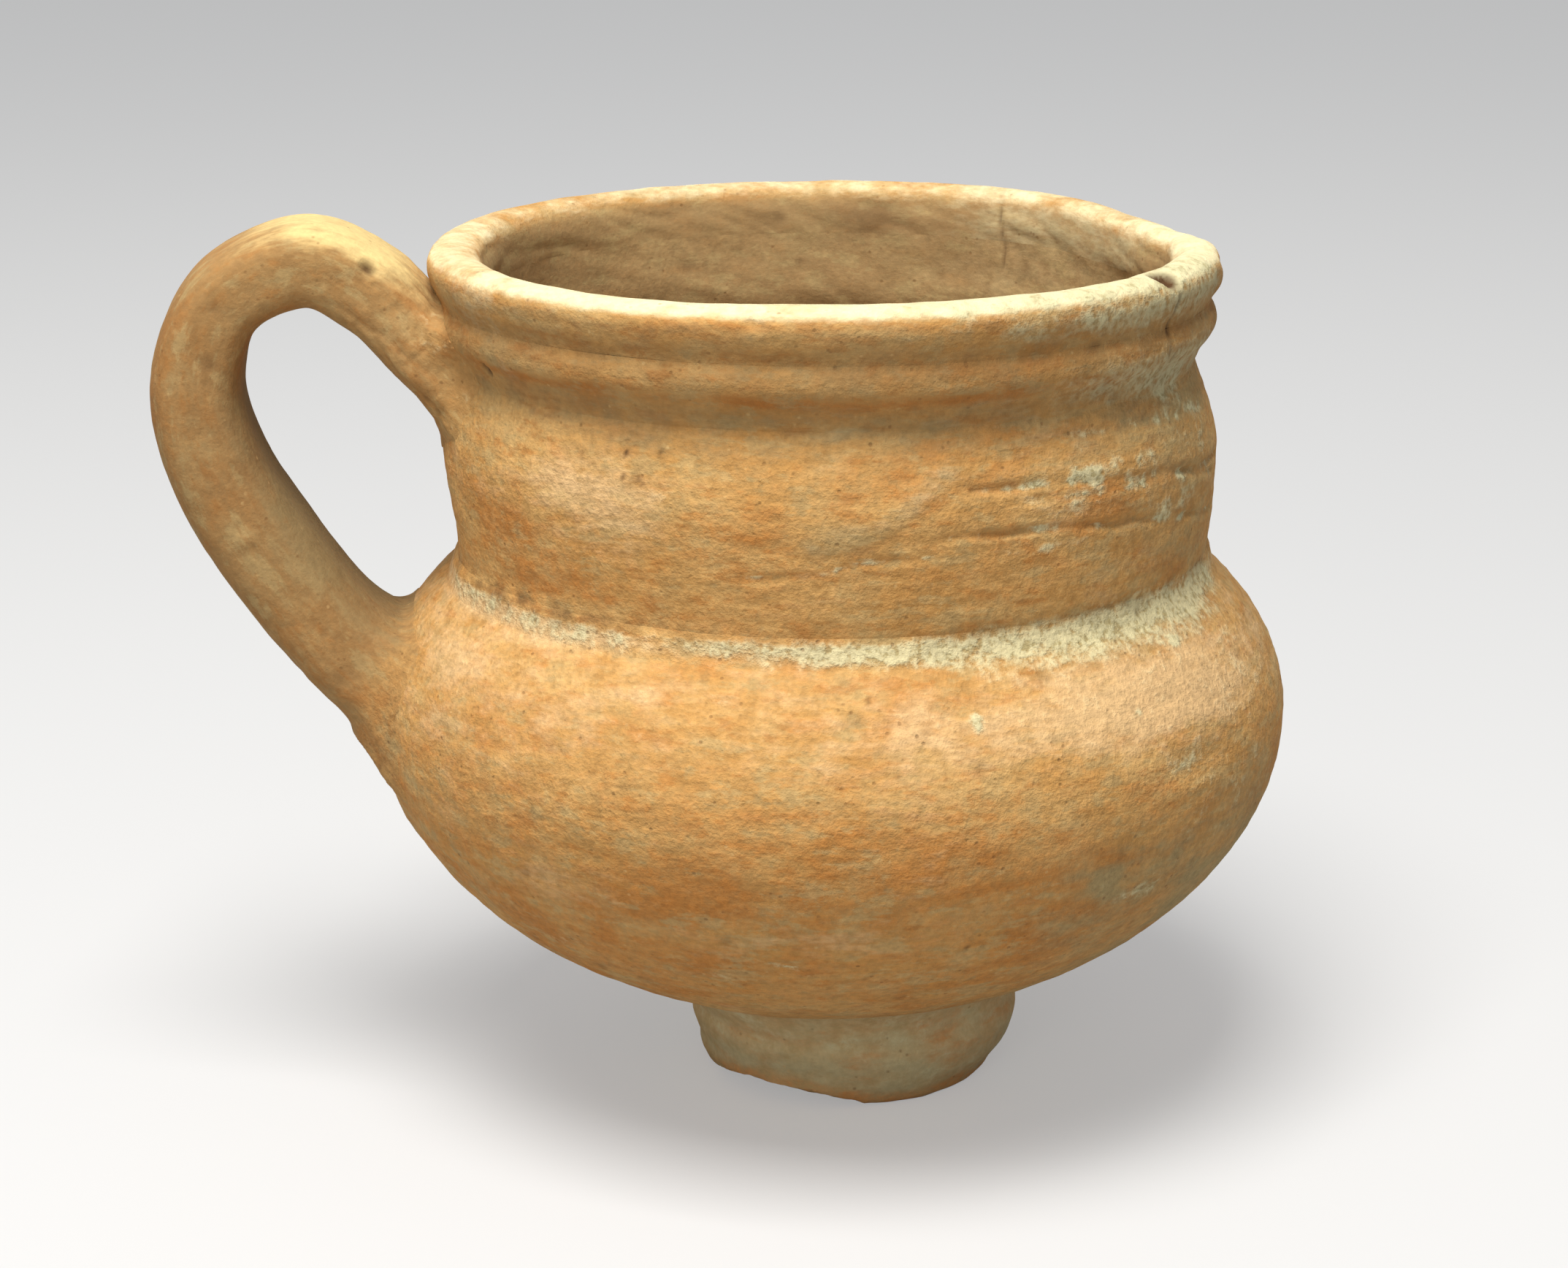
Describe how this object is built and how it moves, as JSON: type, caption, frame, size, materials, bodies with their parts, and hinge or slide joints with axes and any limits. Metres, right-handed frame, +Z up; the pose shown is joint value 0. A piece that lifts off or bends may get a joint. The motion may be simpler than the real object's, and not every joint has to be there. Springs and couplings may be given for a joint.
{
  "type": "one-handled clay jar",
  "caption": "Small fired-clay jar with a round belly, bulging collar, cordon under a rolled lip, solid foot and one high strap handle.",
  "frame": {"origin": "on the turning axis, at the flat underside of the foot", "axes": "+Z up along the turning axis, the handle on the -X side, turned 6.5 degrees towards -Y"},
  "size_m": [0.1346, 0.11, 0.106],
  "materials": {
    "body_clay": "unglazed fired clay, matt, orange-buff with darker orange patches",
    "rim_clay": "unglazed fired clay, matt, paler where it is worn",
    "handle_clay": "unglazed fired clay, matt, buff",
    "foot_clay": "unglazed fired clay under a thin grey-green deposit, matt",
    "pale_deposit": "chalky pale deposit over clay, matt"
  },
  "bodies": {
    "root": {"foot": "foot_clay", "belly": "body_clay", "shoulder_fillet": "pale_deposit", "collar": "body_clay", "cordon": "rim_clay", "lip": "rim_clay", "handle_upper_root": "handle_clay", "handle": "handle_clay", "handle_lower_root": "handle_clay"}
  },
  "joints": []
}
